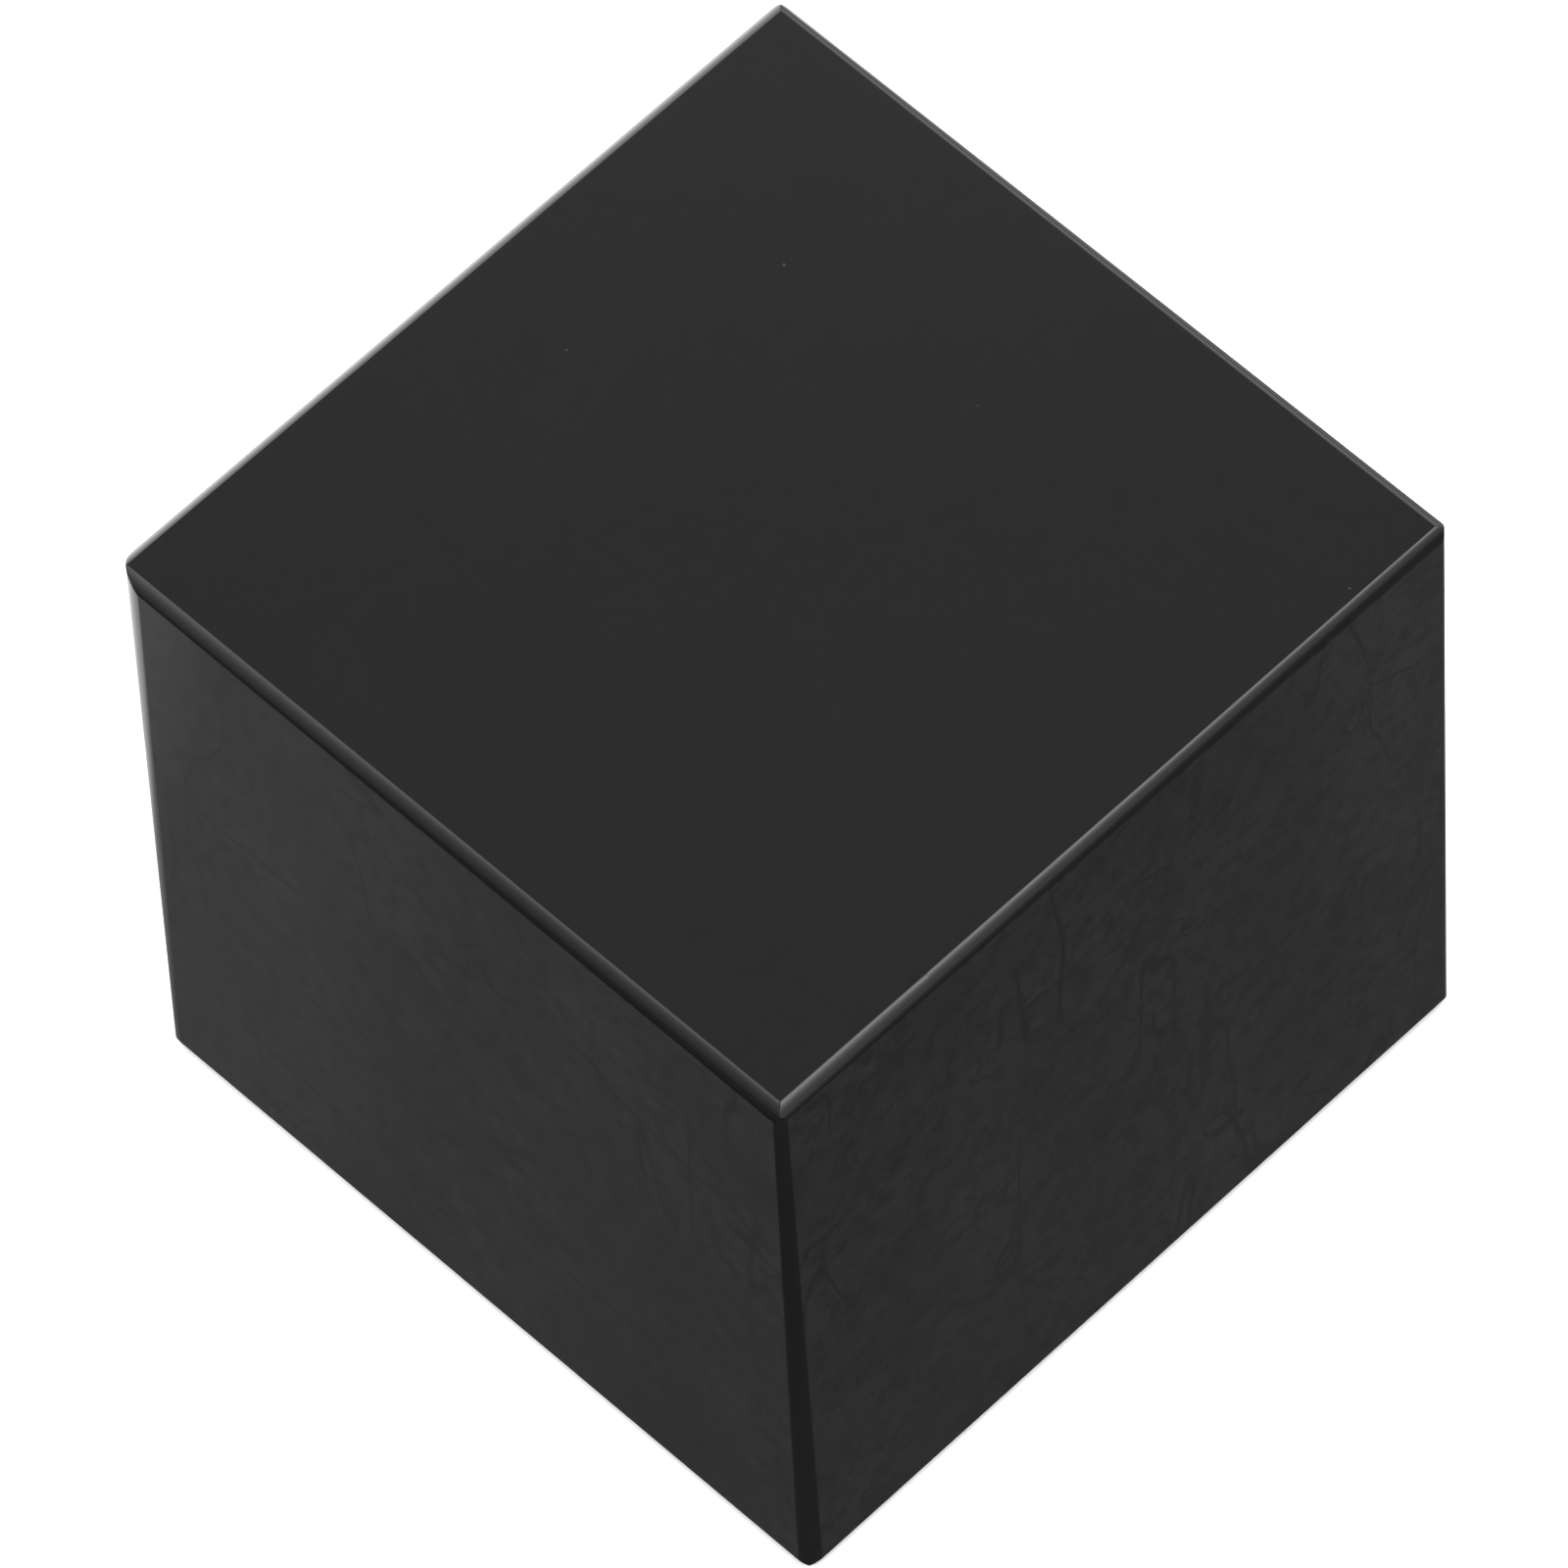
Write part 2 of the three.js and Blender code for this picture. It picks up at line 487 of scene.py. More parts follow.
def falling_share(tree, depth, reach, power):
    """A share that falls from 1 as depth grows past its reach: exp(-(depth / reach) ** power)."""
    share = add_node(tree, "ShaderNodeMath", {0: depth, 1: reach}, operation="DIVIDE")
    raised = add_node(tree, "ShaderNodeMath", {0: share, 1: power}, operation="POWER")
    below = add_node(tree, "ShaderNodeMath", {0: raised, 1: -1.0}, operation="MULTIPLY")
    return add_node(tree, "ShaderNodeMath", {0: below}, operation="EXPONENT")


def rolled_edge_offset(tree, given, place):
    """How far polishing has drawn each point in: the cloth dips over an edge, so a face rolls off
    towards its chamfers over the last millimetre."""
    from_middle = add_node(
        tree, "ShaderNodeVectorMath", {0: place, 1: given["Middle"]}, operation="SUBTRACT"
    )
    side = add_node(tree, "ShaderNodeVectorMath", {0: from_middle}, operation="SIGN")
    away = add_node(tree, "ShaderNodeVectorMath", {0: from_middle}, operation="ABSOLUTE")
    below = add_node(
        tree, "ShaderNodeVectorMath", {0: given["Half Size"], 1: away}, operation="SUBTRACT"
    )
    depths = add_node(tree, "ShaderNodeSeparateXYZ", {"Vector": below}).outputs
    amounts = {}
    for axis in "XYZ":
        first, second = (depths[other] for other in "XYZ" if other != axis)
        nearest = add_node(tree, "ShaderNodeMath", {0: first, 1: second}, operation="MINIMUM")
        by_edge = falling_share(tree, nearest, given["Roll Reach"], 1.0)
        by_face = falling_share(tree, depths[axis], given["Roll Height"], 2.0)
        both = add_node(tree, "ShaderNodeMath", {0: by_edge, 1: by_face}, operation="MULTIPLY")
        amounts[axis] = add_node(
            tree, "ShaderNodeMath", {0: both, 1: given["Roll Depth"]}, operation="MULTIPLY"
        )
    amount = add_node(tree, "ShaderNodeCombineXYZ", amounts)
    inward = add_node(tree, "ShaderNodeVectorMath", {0: side, "Scale": -1.0}, operation="SCALE")
    return add_node(tree, "ShaderNodeVectorMath", {0: amount, 1: inward}, operation="MULTIPLY")


def lap_wave_offset(tree, given, place):
    """The shallow hollows that a polishing lap leaves in a face, always below its true plane."""
    noise = add_node(
        tree,
        "ShaderNodeTexNoise",
        {"Vector": place, "Scale": given["Waves per Metre"], "W": given["Seed"], "Detail": 0.0},
        noise_dimensions="4D",
    )
    deepest = add_node(
        tree, "ShaderNodeMath", {0: given["Wave Depth"], 1: -1.0}, operation="MULTIPLY"
    )
    depth = add_node(tree, "ShaderNodeMapRange", {"Value": noise, "To Min": deepest, "To Max": 0.0})
    normal = add_node(tree, "GeometryNodeInputNormal")
    return add_node(tree, "ShaderNodeVectorMath", {0: normal, "Scale": depth}, operation="SCALE")


def hand_polish_tree(nicks):
    """The tree that turns the ground block into the polished one."""
    tree, given = shape_tree(
        "hand_polish",
        {
            "Middle": "Vector",
            "Half Size": "Vector",
            "Roll Depth": "Float",
            "Roll Reach": "Float",
            "Roll Height": "Float",
            "Wave Depth": "Float",
            "Waves per Metre": "Float",
            "Seed": "Float",
            "Material": "Material",
        },
    )
    place = add_node(tree, "GeometryNodeInputPosition")
    rolled = rolled_edge_offset(tree, given, place)
    waves = lap_wave_offset(tree, given, place)
    offset = add_node(tree, "ShaderNodeVectorMath", {0: rolled, 1: waves}, operation="ADD")
    shape = add_node(
        tree, "GeometryNodeSetPosition", {"Geometry": given["Geometry"], "Offset": offset}
    )
    nick_tree = shell_nick_tree()
    for nick in nicks:
        shape = add_node(
            tree, "GeometryNodeGroup", {"Geometry": shape, **nick}, node_tree=nick_tree
        )
    whole = add_node(tree, "GeometryNodeRealizeInstances", {"Geometry": shape})
    finished = add_node(
        tree, "GeometryNodeSetMaterial", {"Geometry": whole, "Material": given["Material"]}
    )
    add_node(tree, "NodeGroupOutput", {"Geometry": finished})
    return tree


def nick_inputs(nick, chamfering):
    """A nick's centre on its first face's crease, and the way into the glass, in metres."""
    width = chamfering.edge(nick.first, nick.second).widths(nick.first, nick.along)[0]
    centre, inward = np.empty(3), np.zeros(3)
    for face, depth, share in ((nick.first, 0.0, 1.0), (nick.second, width, NICK_SLANT)):
        axis, side = FACES[face]
        centre[axis] = plane_of(face) - side * depth
        inward[axis] = -side * share
    run = run_of(nick)
    centre[run] = BLOCK_LOW[run] + nick.along
    return {
        "Centre": tuple(centre * MM),
        "Inward": tuple(inward / np.linalg.norm(inward)),
        "Radius": nick.length / 2 * MM,
        "Depth": nick.depth * MM,
    }


def bake_tree(piece, tree, values):
    """Runs a tree on a piece, and keeps the result as the piece's plain mesh."""
    modifier = piece.modifiers.new(tree.name, "NODES")
    modifier.node_group = tree
    for item in tree.interface.items_tree:
        if item.item_type == "SOCKET" and item.in_out == "INPUT" and item.name in values:
            modifier[item.identifier] = values[item.name]
    graph = bpy.context.evaluated_depsgraph_get()
    made = bpy.data.meshes.new_from_object(piece.evaluated_get(graph))
    piece.modifiers.remove(modifier)
    rough = piece.data
    piece.data = made
    bpy.data.meshes.remove(rough)
    made.name = piece.name


# - Materials ------------------------------------------------

# Obsidian's body colour, the film that handling leaves on it, and the pale dust that settles on it.
GLASS_BLACK = "#020202"
FILM_GREY = "#121212"
DUST_GREY = "#2C2B2A"
DUST_ROUGHNESS = 0.7

# The ways that the cloth went: how each set of streaks is turned and stretched. The width is where
# a streak ends, as a step of its noise.
STREAKS = (((0.5, 0.7, 0.35), (1.0, 0.16, 1.0)), ((0.2, -0.6, 1.2), (1.0, 1.0, 0.2)))
STREAK_WIDTH = 0.009

# How much of the film is left on the top, and how squarely the glass has to face along an axis to
# have any film and to have all of it, as the cosine of the angle between them.
FILM_ON_TOP = 0.12
FILM_FACING = (0.93, 0.99)


def linear(hex_colour):
    """A linear RGBA colour from an sRGB one in hex."""
    shares = [int(hex_colour[start : start + 2], 16) / 255 for start in (1, 3, 5)]
    found = [s / 12.92 if s <= 0.04045 else ((s + 0.055) / 1.055) ** 2.4 for s in shares]
    return (*found, 1.0)


def thin_lines(tree, place, noise, width, on_them=0.0, beside_them=1.0):
    """One value on thin wandering lines and another beside them. The lines are the middle contours
    of a noise that has those settings, and the width is a step of it."""
    contour = add_node(tree, "ShaderNodeTexNoise", {"Vector": place, **noise})
    off = add_node(tree, "ShaderNodeMath", {0: contour, 1: 0.5}, operation="SUBTRACT")
    off = add_node(tree, "ShaderNodeMath", {0: off}, operation="ABSOLUTE")
    return add_node(
        tree,
        "ShaderNodeMapRange",
        {"Value": off, "From Max": width, "To Min": on_them, "To Max": beside_them},
        interpolation_type="SMOOTHSTEP",
    )


def dust_specks(tree, coordinates, settings):
    """1 in the middle of each speck of dust and 0 beyond it. Most of them lie on the top."""
    grain = add_node(
        tree,
        "ShaderNodeTexVoronoi",
        {"Vector": coordinates["Object"], "Scale": 1 / settings.dust_spacing},
    ).outputs
    chances = add_node(tree, "ShaderNodeSeparateColor", {"Color": grain["Color"]}).outputs
    upward = add_node(tree, "ShaderNodeSeparateXYZ", {"Vector": coordinates["Normal"]})
    share_kept = add_node(
        tree,
        "ShaderNodeMapRange",
        {
            "Value": upward.outputs["Z"],
            "From Min": 0.3,
            "From Max": 0.9,
            "To Min": settings.dust_on_sides,
            "To Max": 1.0,
        },
    )
    kept = add_node(
        tree, "ShaderNodeMath", {0: chances["Red"], 1: share_kept}, operation="LESS_THAN"
    )
    reach = settings.dust_size / 2 / settings.dust_spacing
    radius = add_node(
        tree,
        "ShaderNodeMapRange",
        {"Value": chances["Green"], "To Min": 0.45 * reach, "To Max": reach},
    )
    return add_node(
        tree,
        "ShaderNodeMapRange",
        {"Value": grain["Distance"], "From Max": radius, "To Min": kept, "To Max": 0.0},
        interpolation_type="SMOOTHSTEP",
    )


def film_by_facing(tree, normal):
    """The share of the film that a face keeps: all of it on the sides, little on the top, and
    none on the chamfers."""
    facing = add_node(tree, "ShaderNodeVectorMath", {0: normal}, operation="ABSOLUTE")
    facing = add_node(tree, "ShaderNodeSeparateXYZ", {"Vector": facing}).outputs
    sideways = add_node(
        tree, "ShaderNodeMath", {0: facing["X"], 1: facing["Y"]}, operation="MAXIMUM"
    )
    none_at, all_at = FILM_FACING
    on_sides, on_top = (
        add_node(
            tree,
            "ShaderNodeMapRange",
            {"Value": squarely, "From Min": none_at, "From Max": all_at, "To Max": most},
        )
        for squarely, most in ((sideways, 1.0), (facing["Z"], FILM_ON_TOP))
    )
    return add_node(tree, "ShaderNodeMath", {0: on_sides, 1: on_top}, operation="ADD")


def wiped_film(tree, coordinates, settings):
    """How thick the film on the glass is, from 0 to 1: finely mottled, thicker in some patches
    than in others, and wiped clear in thin streaks, most of which are in the thicker patches."""
    place = coordinates["Object"]
    mottle = add_node(
        tree,
        "ShaderNodeTexNoise",
        {"Vector": place, "Scale": 1 / settings.film_size, "Detail": 5.0, "Roughness": 0.75},
    )
    thick = add_node(
        tree,
        "ShaderNodeMapRange",
        {"Value": mottle, "From Min": 0.38, "From Max": 0.55, "To Min": 0.2, "To Max": 1.0},
    )
    patch = add_node(
        tree,
        "ShaderNodeTexNoise",
        {"Vector": place, "Scale": 1 / settings.smear_size, "Detail": 4.0, "Roughness": 0.6},
    )
    broad = add_node(
        tree,
        "ShaderNodeMapRange",
        {"Value": patch, "From Min": 0.3, "From Max": 0.7, "To Min": 0.45, "To Max": 1.0},
    )
    unwiped = add_node(
        tree,
        "ShaderNodeMapRange",
        {"Value": patch, "From Min": 0.42, "From Max": 0.56, "To Min": 1.0, "To Max": 0.1},
    )
    shares = [broad]
    noise = {"Scale": 1 / settings.streak_spacing, "Detail": 3.0, "Distortion": 0.25}
    for turn, stretch in STREAKS:
        turned = add_node(
            tree, "ShaderNodeMapping", {"Vector": place, "Rotation": turn, "Scale": stretch}
        )
        streak = thin_lines(tree, turned, noise, STREAK_WIDTH)
        shares.append(
            add_node(tree, "ShaderNodeMath", {0: streak, 1: unwiped}, operation="MAXIMUM")
        )
    shares.append(film_by_facing(tree, coordinates["Normal"]))
    for share in shares:
        thick = add_node(tree, "ShaderNodeMath", {0: thick, 1: share}, operation="MULTIPLY")
    return thick


def polished_obsidian(settings):
    """Obsidian, cut and polished with cerium oxide to a mirror.

    It is a black glass that no light comes back out of, so nearly all that the eye gets is the
    room in its surface, faint face on and strong at a low angle. Handling leaves a thin grey
    film, and broad smears that are a little less clear than the rest, and dust settles on it as
    pale matt specks.
    """
    material = bpy.data.materials.new("polished_obsidian")
    tree = cleared_tree(material)
    coordinates = add_node(tree, "ShaderNodeTexCoord").outputs
    place = coordinates["Object"]

    smear = add_node(
        tree,
        "ShaderNodeTexNoise",
        {"Vector": place, "Scale": 1 / settings.smear_size, "Detail": 3.0, "Roughness": 0.55},
    )
    gloss = add_node(
        tree,
        "ShaderNodeMapRange",
        {
            "Value": smear,
            "From Min": 0.35,
            "From Max": 0.7,
            "To Min": settings.clear_roughness,
            "To Max": settings.smeared_roughness,
        },
        interpolation_type="SMOOTHSTEP",
    )
    speck = dust_specks(tree, coordinates, settings)
    film = wiped_film(tree, coordinates, settings)
    glass_colour = add_node(
        tree,
        "ShaderNodeMix",
        {0: film, 6: linear(GLASS_BLACK), 7: linear(FILM_GREY)},
        data_type="RGBA",
    ).outputs[2]
    colour = add_node(
        tree, "ShaderNodeMix", {0: speck, 6: glass_colour, 7: linear(DUST_GREY)}, data_type="RGBA"
    ).outputs[2]
    roughness = add_node(tree, "ShaderNodeMix", {0: speck, 2: gloss, 3: DUST_ROUGHNESS})
    raised = add_node(
        tree, "ShaderNodeMath", {0: speck, 1: settings.dust_height}, operation="MULTIPLY"
    )
    relief = add_node(tree, "ShaderNodeBump", {"Height": raised, "Distance": 1.0, "Strength": 1.0})
    glass = add_node(
        tree,
        "ShaderNodeBsdfPrincipled",
        {"Base Color": colour, "Roughness": roughness, "IOR": settings.ior, "Normal": relief},
    )
    add_node(tree, "ShaderNodeOutputMaterial", {"Surface": glass})
    return material


# - The block ------------------------------------------------


def length_setting(name, description, default, least=0.0):
    """A setting for a length, given in millimetres and kept in metres."""
    return FloatProperty(
        name=name,
        description=description,
        default=default * MM,
        min=least * MM,
        unit="LENGTH",
    )


def share_setting(name, description, default):
    """A setting from 0 to 1."""
    return FloatProperty(
        name=name, description=description, default=default, min=0.0, max=1.0, subtype="FACTOR"
    )


class BlockSettings(bpy.types.PropertyGroup):
    """The grinding, polish and finish of the block."""

    crease_angle: FloatProperty(
        name="Crease angle",
        description="The angle at which a chamfer leaves its face before it rounds over",
        default=math.radians(24),
        min=math.radians(5),
        max=math.radians(40),
        unit="ROTATION",
    )
    hand_wobble: length_setting(
        "Hand wobble", "How far a chamfer's width wanders along its edge", 0.004
    )
    wobble_length: length_setting(
        "Wobble length", "The distance along an edge over which the width wanders once", 23, least=1
    )
    roll_depth: length_setting(
        "Roll-off depth",
        "How far the polish has drawn a face in where it meets its chamfer",
        0.012,
    )
    roll_reach: length_setting(
        "Roll-off reach",
        "How far from the edge the roll-off has fallen to about a third",
        0.35,
        least=0.1,
    )
    wave_depth: length_setting(
        "Lap wave depth", "How deep the hollows of the polishing lap are", 0.002
    )
    wave_length: length_setting(
        "Lap wave length",
        "The distance from one hollow of the polishing lap to the next",
        18,
        least=1,
    )
    wave_seed: IntProperty(
        name="Lap wave seed",
        description="Which pattern of hollows the lap has left",
        default=4,
    )
    ior: FloatProperty(
        name="Index of refraction",
        description="1.50 for obsidian",
        default=1.50,
        min=1.0,
        max=2.5,
    )
    clear_roughness: share_setting("Clear roughness", "Roughness where the polish is clean", 0.02)
    smeared_roughness: share_setting(
        "Smeared roughness", "Roughness where handling has left a smear", 0.06
    )
    smear_size: length_setting("Smear size", "About how wide a smear is", 9, least=1)
    film_size: length_setting(
        "Film size", "About how wide a mottle of the film is", 1.1, least=0.1
    )
    streak_spacing: length_setting(
        "Streak spacing", "About how far apart the cloth's streaks in the film are", 12, least=0.2
    )
    dust_size: length_setting("Dust size", "The width of the largest speck of dust", 0.24)
    dust_spacing: length_setting(
        "Dust spacing",
        "The average distance between specks in the air that they settled from",
        4.2,
        least=1,
    )
    dust_height: length_setting("Dust height", "How far a speck stands off the glass", 0.02)
    dust_on_sides: share_setting(
        "Dust on the sides", "The share of specks that hold on to an upright face", 0.15
    )


class BLOCK_OT_make_block(bpy.types.Operator):
    """Grind, polish and finish the block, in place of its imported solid"""

    bl_idname = "block.make_block"
    bl_label = "Make Block"

    def execute(self, context):
        settings = context.scene.block_settings
        chamfering = Chamfering(settings)
        piece = bpy.data.objects.new(PIECE, ground_mesh(chamfering))
        context.scene.collection.objects.link(piece)
        values = {
            "Middle": tuple(BLOCK_MIDDLE * MM),
            "Half Size": tuple(BLOCK_SIZE / 2 * MM),
            "Roll Depth": settings.roll_depth,
            "Roll Reach": settings.roll_reach,
            "Roll Height": ROLL_HEIGHT * settings.roll_reach,
            "Wave Depth": settings.wave_depth,
            "Waves per Metre": 1 / settings.wave_length,
            "Seed": float(settings.wave_seed),
            "Material": polished_obsidian(settings),
        }
        nicks = [nick_inputs(nick, chamfering) for nick in NICKS]
        bake_tree(piece, hand_polish_tree(nicks), values)
        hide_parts(NODE)
        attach(piece, "root")
        return {"FINISHED"}


# - The stage ------------------------------------------------

# What the polish sees of the studio, as relative brightness by height above the horizon: a height
# is the upward part of a direction, from -1 to 1.
ROOM_HEIGHTS = (
    (-1.0, 0.18),
    (-0.30, 0.25),
    (-0.14, 0.35),
    (0.03, 0.54),
    (0.19, 0.74),
    (0.37, 0.95),
    (0.52, 1.08),
    (0.68, 1.08),
    (0.80, 0.98),
    (0.84, 0.64),
    (0.88, 0.47),
    (1.0, 0.45),
)

# The soft lamps that the polish sees: the way to each one, how bright it is in the middle, and how
# quickly it falls off.
Lamp = namedtuple("Lamp", "towards brightness tightness")
LAMPS = (
    Lamp((0.36, -0.50, 0.78), 5.4, 13.0),
    Lamp((0.36, -0.88, 0.30), 0.75, 4.0),
    Lamp((-0.325, 0.40, 0.857), 2.4, 18.0),
    Lamp((0.36, 0.93, 0.03), 2.7, 20.0),
    Lamp((0.90, 0.42, 0.15), 1.3, 18.0),
)


def brightness_by(tree, value, stops):
    """Brightness that follows a value smoothly through the given pairs of value and brightness."""
    (low, _), (high, _) = stops[0], stops[-1]
    brightest = max(brightness for _, brightness in stops)
    share = add_node(
        tree, "ShaderNodeMapRange", {"Value": value, "From Min": low, "From Max": high}
    )
    ramp = add_node(tree, "ShaderNodeValToRGB", {"Fac": share})
    ramp.color_ramp.interpolation = "EASE"
    elements = ramp.color_ramp.elements
    while len(elements) < len(stops):
        elements.new(0.5)
    for element, (place, brightness) in zip(elements, stops):
        element.position = (place - low) / (high - low)
        element.color = (*([brightness / brightest] * 3), 1.0)
    return add_node(tree, "ShaderNodeMath", {0: ramp, 1: brightest}, operation="MULTIPLY")


def room_in_the_polish(tree, direction):
    """How bright the studio is in each direction, as a reflection shows it."""
    height = add_node(tree, "ShaderNodeSeparateXYZ", {"Vector": direction}).outputs["Z"]
    total = brightness_by(tree, height, ROOM_HEIGHTS)
    for lamp in LAMPS:
        towards = tuple(Vector(lamp.towards).normalized())
        facing = add_node(
            tree, "ShaderNodeVectorMath", {0: direction, 1: towards}, operation="DOT_PRODUCT"
        ).outputs["Value"]
        power = add_node(
            tree,
            "ShaderNodeMath",
            {0: facing, 1: lamp.tightness, 2: -lamp.tightness},
            operation="MULTIPLY_ADD",
        )
        falloff = add_node(tree, "ShaderNodeMath", {0: power}, operation="EXPONENT")
        total = add_node(
            tree,
            "ShaderNodeMath",
            {0: falloff, 1: lamp.brightness, 2: total},
            operation="MULTIPLY_ADD",
        )
    return total


def studio_room(settings):
    """A white room to look at, an even light on the floor, and soft lamps in the polish."""
    world = bpy.data.worlds.new("studio_room")
    tree = cleared_tree(world)
    direction = add_node(tree, "ShaderNodeTexCoord").outputs["Generated"]
    seen = add_node(tree, "ShaderNodeLightPath").outputs
    in_polish = room_in_the_polish(tree, direction)
    on_floor = add_node(
        tree, "ShaderNodeMix", {0: seen["Is Glossy Ray"], 2: settings.fill, 3: in_polish}
    )
    strength = add_node(
        tree, "ShaderNodeMix", {0: seen["Is Camera Ray"], 2: on_floor, 3: settings.backdrop}
    )
    backdrop = add_node(tree, "ShaderNodeBackground", {"Strength": strength})
    add_node(tree, "ShaderNodeOutputWorld", {"Surface": backdrop})
    world.cycles.sampling_method = "NONE"
    return world


PAPER_WHITE = "#F4F4F4"

# The floor as the polish shows it, a painted reflection that only reflections see: relative
# brightness by how far back a place is, in metres, dark round the block and in front of it as a
# painted shadow and bright behind it as painted light. The painted back light reaches straight
# back, so a place counts as less far back the further it is to the left, or to the right of
# RIGHT_EDGE.
PAINTED_FLOOR_REFLECTION = (
    (-0.080, 0.145),
    (-0.060, 0.128),
    (-0.046, 0.131),
    (-0.034, 0.145),
    (-0.012, 0.165),
    (0.012, 0.222),
    (0.020, 0.34),
    (0.030, 0.88),
    (0.045, 1.35),
    (0.070, 1.65),
    (0.100, 2.00),
    (0.150, 2.70),
)
LOST_TO_LEFT = 0.6
LOST_TO_RIGHT = 0.6
RIGHT_EDGE = 0.05

# How much brighter the painted reflection of the floor is just right of the block, well to its back
# right, far to the front, and far off all round, with the distances that each comes in over.
FLOOR_RIGHT = (0.04, 0.018, 0.045)
FLOOR_BACK_RIGHT = (0.40, 0.07, 0.18)
FLOOR_FRONT = (0.60, 0.08, 0.40)
FLOOR_FAR = (0.12, 0.08, 0.30)

# Soft clouds and folds in the painted reflection of the floor, which only the polish shows: their
# size in metres, and how far they take its brightness down and up. A fold's width is a step of its
# noise.
PAINTED_CLOUD = (0.010, 0.97, 1.04)
PAINTED_FOLD = (0.003, 0.96, 1.0)
FOLD_WIDTH = 0.010
FOLD_STRETCH = (1.0, 0.22, 1.0)
FOLD_TURN = (0.0, 0.0, 0.9)


def painted_reflection_folds(tree, place):
    """How much brighter or darker the clouds and folds in the painted reflection make it, from
    place to place.
    """
    size, darkest, lightest = PAINTED_CLOUD
    cloud = add_node(
        tree,
        "ShaderNodeTexNoise",
        {"Vector": place, "Scale": 1 / size, "Detail": 5.0, "Roughness": 0.6},
    )
    clouded = add_node(
        tree,
        "ShaderNodeMapRange",
        {"Value": cloud, "From Min": 0.3, "From Max": 0.7, "To Min": darkest, "To Max": lightest},
    )
    size, darkest, lightest = PAINTED_FOLD
    turned = add_node(
        tree, "ShaderNodeMapping", {"Vector": place, "Rotation": FOLD_TURN, "Scale": FOLD_STRETCH}
    )
    noise = {"Scale": 1 / size, "Detail": 2.0, "Distortion": 0.8}
    folded = thin_lines(tree, turned, noise, FOLD_WIDTH, darkest, lightest)
    return add_node(tree, "ShaderNodeMath", {0: clouded, 1: folded}, operation="MULTIPLY")


def painted_floor_reflection(tree, place):
    """The painted reflection of the floor: how bright it glows for reflections from place to place,
    dark round the block as a painted shadow and bright behind it as painted light.
    """
    sides = add_node(tree, "ShaderNodeSeparateXYZ", {"Vector": place}).outputs
    left = add_node(tree, "ShaderNodeMath", {0: sides["X"], 1: 0.0}, operation="MINIMUM")
    right = add_node(tree, "ShaderNodeMath", {0: sides["X"], 1: RIGHT_EDGE}, operation="MAXIMUM")
    back = sides["Y"]
    for aside, lost in ((left, LOST_TO_LEFT), (right, -LOST_TO_RIGHT)):
        back = add_node(
            tree, "ShaderNodeMath", {0: aside, 1: lost, 2: back}, operation="MULTIPLY_ADD"
        )
    back = add_node(
        tree, "ShaderNodeMath", {0: back, 1: LOST_TO_RIGHT * RIGHT_EDGE}, operation="ADD"
    )
    total = brightness_by(tree, back, PAINTED_FLOOR_REFLECTION)
    back_right = add_node(tree, "ShaderNodeMath", {0: sides["X"], 1: sides["Y"]}, operation="ADD")
    to_front = add_node(tree, "ShaderNodeMath", {0: sides["Y"], 1: -1.0}, operation="MULTIPLY")
    away = add_node(tree, "ShaderNodeVectorMath", {0: place}, operation="LENGTH").outputs["Value"]
    for where, (brightness, start, end) in (
        (sides["X"], FLOOR_RIGHT),
        (back_right, FLOOR_BACK_RIGHT),
        (to_front, FLOOR_FRONT),
        (away, FLOOR_FAR),
    ):
        share = add_node(
            tree,
            "ShaderNodeMapRange",
            {"Value": where, "From Min": start, "From Max": end},
            interpolation_type="SMOOTHSTEP",
        )
        total = add_node(
            tree, "ShaderNodeMath", {0: share, 1: brightness, 2: total}, operation="MULTIPLY_ADD"
        )
    folds = painted_reflection_folds(tree, place)
    return add_node(tree, "ShaderNodeMath", {0: total, 1: folds}, operation="MULTIPLY")


def paper_with_painted_reflection():
    """White background paper: an even matt sheet to the camera and the lights, which glows for
    reflections only with a painted reflection of the floor, painted shadow round the block
    included.
    """
    material = bpy.data.materials.new("paper_with_painted_reflection")
    tree = cleared_tree(material)
    place = add_node(tree, "ShaderNodeTexCoord").outputs["Object"]
    seen = add_node(tree, "ShaderNodeLightPath").outputs
    paper = add_node(tree, "ShaderNodeBsdfDiffuse", {"Color": linear(PAPER_WHITE)})
    # A glow that only reflections see: the painted reflection of the floor, with a painted shadow
    # round the block.
    painted_glow = add_node(tree, "ShaderNodeEmission", {"Strength": painted_floor_reflection(tree, place)})
    either = add_node(tree, "ShaderNodeMixShader", {0: seen["Is Glossy Ray"], 1: paper, 2: painted_glow})
    add_node(tree, "ShaderNodeOutputMaterial", {"Surface": either})
    material.cycles.emission_sampling = "NONE"
    return material


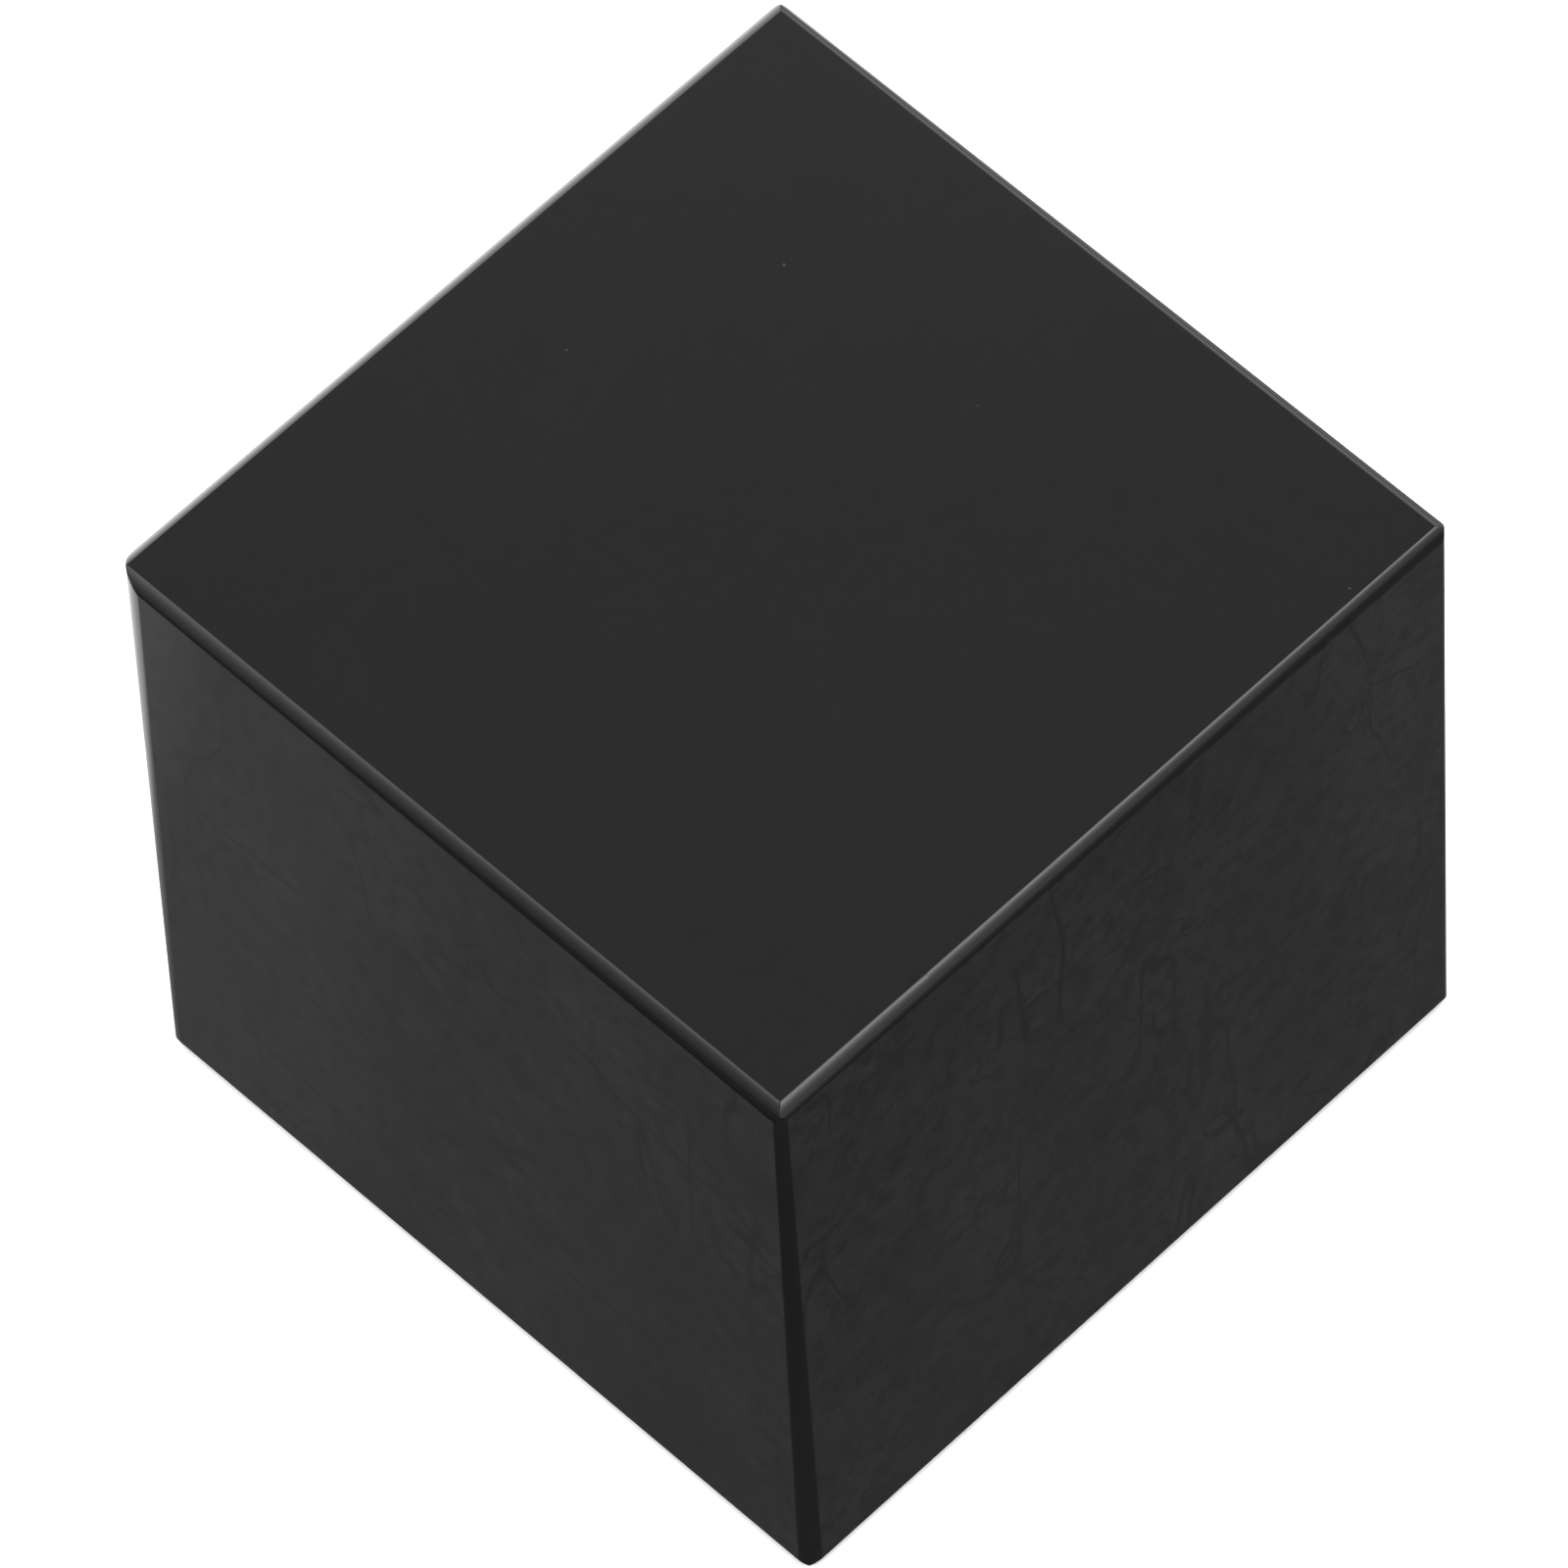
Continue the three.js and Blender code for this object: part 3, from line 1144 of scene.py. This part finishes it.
class StageSettings(bpy.types.PropertyGroup):
    """The floor, the light and the camera."""

    floor_radius: length_setting(
        "Floor radius", "How far the paper reaches from the block", 3000, least=500
    )
    fill: FloatProperty(
        name="Fill light",
        description="Brightness of the even light on the floor",
        default=2.5,
        min=0.0,
    )
    backdrop: FloatProperty(
        name="Backdrop",
        description="Brightness of the room behind the floor",
        default=1.4,
        min=0.0,
    )
    softbox_size: length_setting(
        "Softbox size", "Width of the square softbox over the block", 1600, least=100
    )
    softbox_height: length_setting("Softbox height", "How high the softbox hangs", 1500, least=200)
    softbox_power: FloatProperty(
        name="Softbox power",
        description="Light from the softbox",
        default=16.0,
        min=0.0,
        unit="POWER",
    )
    lens: FloatProperty(
        name="Lens",
        description="Focal length on a 36 mm wide sensor",
        default=389.0,
        min=10.0,
        subtype="DISTANCE_CAMERA",
    )
    distance: length_setting(
        "Camera distance", "From the camera to the middle of the block", 903.4, least=100
    )
    heading: FloatProperty(
        name="Heading",
        description="Which way the camera looks, turned from the width towards the depth",
        default=math.radians(47.806),
        unit="ROTATION",
    )
    tilt: FloatProperty(
        name="Tilt",
        description="How far the camera looks down",
        default=math.radians(57.379),
        unit="ROTATION",
    )
    roll: FloatProperty(
        name="Roll",
        description="How far the camera is turned about the way that it looks",
        default=math.radians(-3.764),
        unit="ROTATION",
    )
    aim: FloatVectorProperty(
        name="Aim",
        description="How far the camera is moved to its right, and up",
        size=2,
        default=(-0.00058, 0.000095),
        unit="LENGTH",
    )


# How many sides the round floor has, and the camera's sensor in millimetres and range in metres.
FLOOR_SIDES = 96
SENSOR_WIDTH = 36.0
CLIP_RANGE = (0.01, 10.0)


def aim_camera(camera, settings):
    """Puts the camera where it looks at the middle of the block."""
    level, fall = math.cos(settings.tilt), math.sin(settings.tilt)
    looking = Vector(
        (level * math.cos(settings.heading), level * math.sin(settings.heading), -fall)
    )
    right = looking.cross(Vector((0, 0, 1))).normalized()
    turned = Matrix.Rotation(-settings.roll, 3, looking)
    right = turned @ right
    up = right.cross(looking)
    middle = Vector(BLOCK_MIDDLE) * MM
    place = middle - looking * settings.distance + right * settings.aim[0] + up * settings.aim[1]
    turn = Matrix((right, up, -looking)).transposed()
    camera.matrix_world = Matrix.Translation(place) @ turn.to_4x4()


class BLOCK_OT_make_stage(bpy.types.Operator):
    """Lay the floor, light it, and set up the camera"""

    bl_idname = "block.make_stage"
    bl_label = "Make Stage"

    def execute(self, context):
        scene = context.scene
        settings = scene.stage_settings

        disc = bmesh.new()
        bmesh.ops.create_circle(
            disc, cap_ends=True, segments=FLOOR_SIDES, radius=settings.floor_radius
        )
        mesh = bpy.data.meshes.new("floor")
        disc.to_mesh(mesh)
        disc.free()
        mesh.materials.append(paper_with_painted_reflection())
        floor = bpy.data.objects.new("floor", mesh)
        scene.collection.objects.link(floor)

        scene.world = studio_room(settings)
        box = bpy.data.lights.new("softbox", "AREA")
        box.size = settings.softbox_size
        box.energy = settings.softbox_power
        softbox = bpy.data.objects.new("softbox", box)
        softbox.location = (0, 0, settings.softbox_height)
        softbox.visible_glossy = False
        softbox.visible_camera = False
        scene.collection.objects.link(softbox)

        eye = bpy.data.cameras.new("camera")
        eye.lens = settings.lens
        eye.sensor_width = SENSOR_WIDTH
        eye.clip_start, eye.clip_end = CLIP_RANGE
        camera = bpy.data.objects.new("camera", eye)
        scene.collection.objects.link(camera)
        scene.camera = camera
        aim_camera(camera, settings)
        scene.view_settings.view_transform = "Standard"
        return {"FINISHED"}


# - The panel, and the order of work -------------------------


class BLOCK_PT_panel(bpy.types.Panel):
    """The block's and the stage's settings, with a button to make each"""

    bl_idname = "BLOCK_PT_panel"
    bl_label = "Polished Black Block"
    bl_space_type = "VIEW_3D"
    bl_region_type = "UI"
    bl_category = "Block"

    def draw(self, context):
        scene = context.scene
        for settings, operator in (
            (scene.block_settings, BLOCK_OT_make_block),
            (scene.stage_settings, BLOCK_OT_make_stage),
        ):
            box = self.layout.box()
            for name in settings.__annotations__:
                box.prop(settings, name)
            box.operator(operator.bl_idname)


CLASSES = (
    BlockSettings,
    StageSettings,
    BLOCK_OT_make_block,
    BLOCK_OT_make_stage,
    BLOCK_PT_panel,
)


def register():
    for cls in CLASSES:
        bpy.utils.register_class(cls)
    bpy.types.Scene.block_settings = PointerProperty(type=BlockSettings)
    bpy.types.Scene.stage_settings = PointerProperty(type=StageSettings)


def unregister():
    del bpy.types.Scene.stage_settings
    del bpy.types.Scene.block_settings
    for cls in reversed(CLASSES):
        bpy.utils.unregister_class(cls)


def main():
    register()
    bpy.ops.block.make_block()
    bpy.ops.block.make_stage()


if __name__ == "__main__":
    main()
